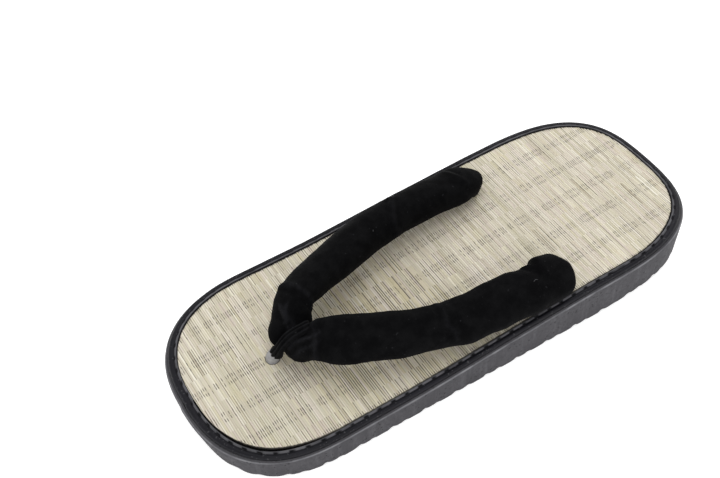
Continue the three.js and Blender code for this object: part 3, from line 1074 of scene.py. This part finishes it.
# %% Creases
# name, ridge side (1 is left of the path, seen from outside), depth and width in mm, strength of
# the highlight painted on the ridge, points in mm
CREASES = [
    ("far_middle", 1, 1.3, 1.5, 0.5,
     [(-4.4, 34.0, 40.2), (-8.7, 24.9, 41.4), (-10.8, 19.5, 36.9), (-9.4, 18.7, 33.0)]),
    ("far_bend", 1, 1.4, 1.5, 0.7,
     [(-76.0, 14.0, 42.0), (-72.6, 5.7, 45.4), (-70.2, 1.6, 44.0), (-68.7, -1.1, 38.0)]),
    ("far_fold_a", 1, 1.3, 1.2, 0.9,
     [(-82.2, 3.5, 41.0), (-83.0, -1.3, 38.0), (-82.5, -2.6, 33.0)]),
    ("far_fold_b", -1, 1.0, 1.2, 0.9,
     [(-78.0, 0.6, 43.0), (-78.0, -1.0, 39.0), (-77.5, -2.0, 34.0)]),
    ("near_front", -1, 1.2, 1.4, 0.6,
     [(-71.5, -15.5, 45.0), (-74.3, -21.2, 44.2), (-76.9, -25.0, 40.1), (-78.4, -26.2, 36.0)]),
    ("near_draw_a", 1, 0.9, 1.1, 0.9,
     [(-74.9, -18.5, 43.9), (-79.8, -15.6, 40.0), (-85.0, -12.0, 34.0)]),
    ("near_draw_b", 1, 0.8, 1.1, 0.7,
     [(-77.5, -21.0, 42.0), (-82.0, -18.0, 38.0), (-86.5, -14.0, 31.0)]),
    ("near_middle", 1, 1.4, 1.5, 0.6,
     [(-21.9, -34.0, 41.5), (-23.6, -41.1, 41.0), (-24.7, -45.1, 38.8), (-22.5, -48.5, 35.5)]),
    ("near_middle_b", -1, 0.8, 1.3, 0.4,
     [(-14.1, -34.0, 40.5), (-15.5, -38.5, 41.3), (-19.5, -41.0, 41.0)]),
    ("near_rear", 1, 1.3, 1.4, 0.0,
     [(27.0, -37.0, 38.5), (28.2, -40.5, 40.3), (31.5, -44.5, 39.5)]),
    ("far_rear", -1, 0.7, 1.5, 0.0,
     [(34.0, 36.0, 37.5), (36.5, 31.0, 38.0), (38.0, 27.0, 35.0)]),
]
# how far a crease reaches, and how far beside it the ridge stands, in widths of the crease
CREASE_REACH = 5
RIDGE_PLACE = 1.7
# the ridge's height, as a share of the crease's depth
RIDGE_HEIGHT = 0.6


def crease_shift(point, normal, crease):
    """How far a crease moves a point along its normal in mm, and the highlight painted near its ridge."""
    _, ridge, depth, width, shine, path = crease
    best = None
    for a, b in zip(path, path[1:]):
        start, span = Vector(a), Vector(b) - Vector(a)
        share = min(max((point - start).dot(span) / span.length_squared, 0), 1)
        away = point - (start + span * share)
        if best is None or away.length < best[0].length:
            best = (away, span)
    away, span = best
    if away.length > CREASE_REACH * width:
        return 0, 0
    side = ridge * math.copysign(1, normal.cross(span).dot(away))
    across = side * away.length / width
    crest = math.exp(-((across - RIDGE_PLACE) ** 2))
    return RIDGE_HEIGHT * depth * crest - depth * math.exp(-across * across), shine * crest


print("creases:", [row[0] for row in CREASES])

# %% [markdown]
# Where the wadding is packed more tightly the tube bulges, and where it is pulled it goes in. A bulge
# pushes the cloth within a sphere, most in its middle, so a list of spheres is enough for the whole
# strap. Only the fold that stands up beside the nearer branch's rear end needs a rule of its own.

# %% Bulges
# centre, radius and how far the cloth is pushed there, in mm
BULGES = [
    ((-73.0, -2.5, 34.0), 9, (2.8, -3.8, 0)),
    ((-80.0, -2.0, 30.0), 9, (0, -3.5, 0)),
    ((-80.0, -13.0, 34.0), 9, (0, 3.0, 0)),
    ((-12.0, -52.0, 29.0), 13, (-0.2, -2.0, -0.9)),
    ((5.0, -54.0, 28.0), 16, (-0.2, -2.0, -0.9)),
    ((23.0, -55.0, 27.0), 16, (0, -2.6, -1.1)),
    ((40.0, -54.0, 26.0), 12, (0.8, -2.2, -1.1)),
    ((5.0, -36.0, 41.0), 12, (-0.3, 0.9, 0.7)),
    ((18.0, -37.0, 40.0), 12, (-0.3, 0.9, 0.7)),
    ((-88.5, 3.0, 29.0), 8, (-1.6, 0.4, -0.4)),
    ((-80.0, 16.0, 40.0), 9, (-0.9, 0.9, 0)),
    ((-72.0, -30.0, 34.0), 13, (-0.5, -2.1, -1.5)),
    ((-85.0, -19.0, 30.0), 8, (0, -0.9, -1.3)),
    ((-66.0, -33.5, 33.0), 10, (0, -1.0, -0.8)),
    ((-86.5, -1.5, 29.0), 9, (-2.2, -0.5, -1.5)),
    ((-59.0, -37.0, 33.0), 13, (-0.5, -1.2, -0.9)),
    ((-47.0, -42.0, 32.0), 13, (-0.5, -1.0, -0.8)),
    ((46.0, -46.0, 36.0), 9, (3.4, 0.4, 0.8)),
    ((44.0, -52.0, 30.0), 9, (2.0, -0.4, -0.4)),
    ((48.0, 32.0, 31.0), 9, (2.2, -0.6, 0)),
    ((34.0, 24.0, 28.0), 14, (0.3, -1.2, -0.6)),
    ((40.0, 37.0, 36.0), 14, (0.0, 0.8, 0.8)),
]


def bulge(point):
    """The sum of the pushes of all bulges at a point, in mm."""
    total = Vector()
    for centre, radius, push in BULGES:
        share = smoothstep(1 - (point - Vector(centre)).length / radius)
        total += Vector(push) * share
    return total


# height of the fold that stands up, and depth of the dip before it, in mm
REAR_FOLD = 2.6
REAR_DIP = 0.8


def rear_fold(point):
    """The stand-up fold beside the nearer branch's rear end, in mm along the normal."""
    if point.y > -30 or point.z < 30:
        return 0
    behind = smoothstep((point.x - 31) / 2.5) * smoothstep((50 - point.x) / 9)
    inner = smoothstep((point.y + 46) / 8)
    before = math.exp(-(((point.x - 24) / 5) ** 2))
    return REAR_FOLD * behind * inner - REAR_DIP * before * inner


print("bulges:", len(BULGES))

# %% [markdown]
# The net is too coarse for a crease, so it is divided and evened out first. Each point then moves by the
# sum of all creases, bulges and the fold, with a little noise.

# %% Strap
FINE_PASSES = 2
# how far all of the strap swells, and how uneven it is over broad and small patches, in mm
FULLNESS = 0.6
BROAD_LUMPS = 0.35
SMALL_LUMPS = 0.18


def crease(net):
    """The finished strap, from the inflated net."""
    bm = bmesh.new()
    bm.from_mesh(net.data)
    bmesh.ops.subdivide_edges(bm, edges=bm.edges, cuts=1, use_grid_fill=True, smooth=0.0)
    relax(bm, FINE_PASSES)
    crest = bm.verts.layers.float.new(FOLD_CREST_HIGHLIGHT)
    for vert in bm.verts:
        point = vert.co / MM
        folds = [crease_shift(point, vert.normal, row) for row in CREASES]
        shift = FULLNESS + sum(fold[0] for fold in folds) + rear_fold(point)
        shift += BROAD_LUMPS * noise.noise(vert.co * 90) + SMALL_LUMPS * noise.noise(vert.co * 260)
        vert[crest] = max(fold[1] for fold in folds)
        vert.co = (point + vert.normal * shift + bulge(point)) * MM
    return bm


strap = piece("strap_padded", crease(net), VELVET, "velvet", "strap")
bpy.data.objects.remove(net)
strap.modifiers.new("round", "SUBSURF").levels = 1
strap.modifiers["round"].render_levels = 1

# %% [markdown]
# Velvet picks up lint. Three short fibres lie on the pile, one alone and two that cross near the rear.
# Each is a sphere stretched into a thread, since a curve would be more work for so little.


# %% Lint
# place, in mm, and turn in degrees
LINT = [((-20.4, 20.5, 40.6), 60), ((25.2, -46.4, 39.9), 20), ((26.4, -46.2, 39.9), -35)]
LINT_SIZE = Vector((0.8, 0.13, 0.13)) * MM


def lint_mesh():
    bm = bmesh.new()
    for place, degrees in LINT:
        turn = Matrix.Rotation(math.radians(degrees), 4, "Z")
        matrix = Matrix.Translation(Vector(place) * MM) @ turn @ Matrix.Diagonal((*LINT_SIZE, 1))
        bmesh.ops.create_uvsphere(bm, u_segments=8, v_segments=6, radius=1, matrix=matrix)
    return bm


def lint_finish():
    recipe = Recipe("lint")
    fibre = recipe.noise(recipe.place, 2000.0, 1.0)
    tone = recipe.blend(fibre, (0.02, 0.02, 0.022), (0.05, 0.05, 0.053))
    return recipe.finish(tone, 0.9, fibre, 0.02 * MM)


piece("lint", lint_mesh(), lint_finish(), "velvet")

# %% [markdown]
# ## Toe wrap and post
# A doubled piece of velvet passes through the crotch of the V, over the joined branches, and down to the
# post. It is gathered into pleats. The wrap is lofted through stations along its path, because the path
# is a tight loop in which a cloth run would tangle. At each station it is a flat oval, with the pleats
# raised on its outer face.

# %% Wrap
# place along the sandal, across it and above the floor, half width and half thickness, in mm
WRAP_PATH = [
    (-88.6, -3.9, 21.6, 3.3, 2.6),
    (-89.2, -6.0, 24.0, 3.2, 2.2),
    (-89.1, -8.4, 29.0, 2.9, 1.4),
    (-88.3, -10.4, 34.0, 2.8, 1.1),
    (-86.3, -11.6, 37.8, 2.9, 1.0),
    (-83.9, -12.3, 40.1, 3.0, 1.0),
    (-81.1, -13.0, 41.5, 3.0, 1.0),
    (-78.6, -13.4, 42.2, 3.0, 1.0),
    (-76.0, -12.8, 41.6, 2.8, 1.0),
    (-74.9, -11.0, 38.8, 2.6, 1.0),
    (-75.2, -9.2, 34.0, 2.6, 1.2),
    (-77.0, -8.0, 28.6, 2.8, 1.4),
    (-80.0, -6.6, 24.0, 3.0, 1.6),
]
WRAP_SIDES = 56
WRAP_STEPS = 60
PLEATS = 3
# height of the pleats, and how uneven the wrap is, in mm
PLEAT_HEIGHT = 0.9
WRAP_LUMPS = 0.3


def smooth_path(table, steps):
    """Rows of a table read off at even steps, through a smooth curve for each column."""
    last = len(table) - 1
    columns = [[(i, row[k]) for i, row in enumerate(table)] for k in range(len(table[0]))]
    return [[through(column, i / steps * last) for column in columns] for i in range(steps + 1)]


def pleat(u):
    """Height of the pleats at u, which runs from -1 to 1 across: rounded backs, sharp valleys."""
    return abs(math.sin(PLEATS * math.pi * (u + 1) / 2))


def wrap_mesh():
    """The wrap, with a highlight painted on the crests of its pleats."""
    stations = smooth_path(WRAP_PATH, WRAP_STEPS)

    def place(i, k):
        x, y, z, wide, thick = stations[k]
        before, after = stations[max(k - 1, 0)], stations[min(k + 1, WRAP_STEPS)]
        along = (Vector(after[:3]) - Vector(before[:3])).normalized()
        across = Vector((0, 1, 0)) - along * along.y
        across.normalize()
        out = along.cross(across)
        turn = 2 * math.pi * i / WRAP_SIDES
        u, v = math.cos(turn), math.sin(turn)
        fold = PLEAT_HEIGHT * pleat(u) * max(v, 0) ** 0.5
        fold += WRAP_LUMPS * noise.noise(Vector((u * 3, v * 3, k * 0.12)))
        return (Vector((x, y, z)) + across * wide * u + out * (thick * v + fold)) * MM

    bm = loft(WRAP_SIDES, list(range(WRAP_STEPS + 1)), place)
    column = bm.verts.layers.int["column"]
    crest = bm.verts.layers.float.new(FOLD_CREST_HIGHLIGHT)
    for vert in bm.verts:
        turn = 2 * math.pi * vert[column] / WRAP_SIDES
        vert[crest] = 0.7 * pleat(math.cos(turn)) ** 6 if math.sin(turn) > 0 else 0
    return bm


wrap = piece("wrap", wrap_mesh(), VELVET, "velvet", "toe_wrap")

# %% [markdown]
# The post is a tube of grey plastic, slightly milky, with a soft gloss and fine scratches round it.


# %% Post finish
def post_plastic():
    recipe = Recipe("post_plastic")
    milky = recipe.noise(recipe.place, 420.0, 3.0)
    scratches = recipe.noise(recipe.stretched((700, 700, 3000)), 1.0, 2.0)
    tone = recipe.blend(milky.between(0.3, 0.7), (0.23, 0.23, 0.245), (0.33, 0.33, 0.345))
    return recipe.finish(tone, 0.3 + scratches * 0.2, scratches, 0.05 * MM)


# %% [markdown]
# The tube comes up through the mat and leans back as it meets the wrap, so a straight cylinder won't do.
# It is a loft of circles, each square to the path. It reaches down into the sole, where it is hidden.

# %% Post
# place and radius along the tube, in mm
POST_PATH = [
    (POST_X, POST_Y, 8.0, 3.3),
    (POST_X, POST_Y, 13.6, 3.3),
    (-90.2, -1.3, 15.2, 3.3),
    (-89.9, -1.9, 17.2, 3.25),
    (-89.4, -2.8, 19.2, 3.2),
    (-88.9, -3.6, 21.2, 3.0),
]
POST_STEPS = 24
POST_SIDES = 32


def post_mesh():
    """The tube of the post."""
    stations = smooth_path(POST_PATH, POST_STEPS)

    def place(i, k):
        before, after = stations[max(k - 1, 0)], stations[min(k + 1, POST_STEPS)]
        along = (Vector(after[:3]) - Vector(before[:3])).normalized()
        across = Vector((0, 1, 0)).cross(along).normalized()
        side = along.cross(across)
        turn = 2 * math.pi * i / POST_SIDES
        radius = stations[k][3]
        return (Vector(stations[k][:3]) + (across * math.cos(turn) + side * math.sin(turn)) * radius) * MM

    return loft(POST_SIDES, list(range(POST_STEPS + 1)), place)


piece("post", post_mesh(), post_plastic(), "post_plastic", "toe_post")

# %% [markdown]
# ## Floor
# The sandal stands on a plain white table that is lit from below, as in a product studio. The glow
# keeps shadows on the table faint.


# %% Floor
def floor_finish():
    recipe = Recipe("floor")
    grain = recipe.noise(recipe.place, 300.0, 2.0)
    tone = recipe.blend(grain, (0.9, 0.9, 0.9), (0.93, 0.93, 0.93))
    glow = {"Emission Color": (1, 1, 1, 1), "Emission Strength": 0.42}
    return recipe.finish(tone, 0.9, grain, 0.02 * MM, glow)


FLOOR_HALF_SIZE = 6
# just under the tread, so that the two faces don't flicker
FLOOR_DROP = Matrix.Translation((0, 0, -0.1 * MM))
bm = bmesh.new()
bmesh.ops.create_grid(bm, x_segments=1, y_segments=1, size=FLOOR_HALF_SIZE, matrix=FLOOR_DROP)
floor_mesh = bpy.data.meshes.new("floor")
bm.to_mesh(floor_mesh)
bm.free()
floor = bpy.data.objects.new("floor", floor_mesh)
bpy.context.scene.collection.objects.link(floor)
floor_mesh.materials.append(floor_finish())
print("floor:", 2 * FLOOR_HALF_SIZE, "m across")
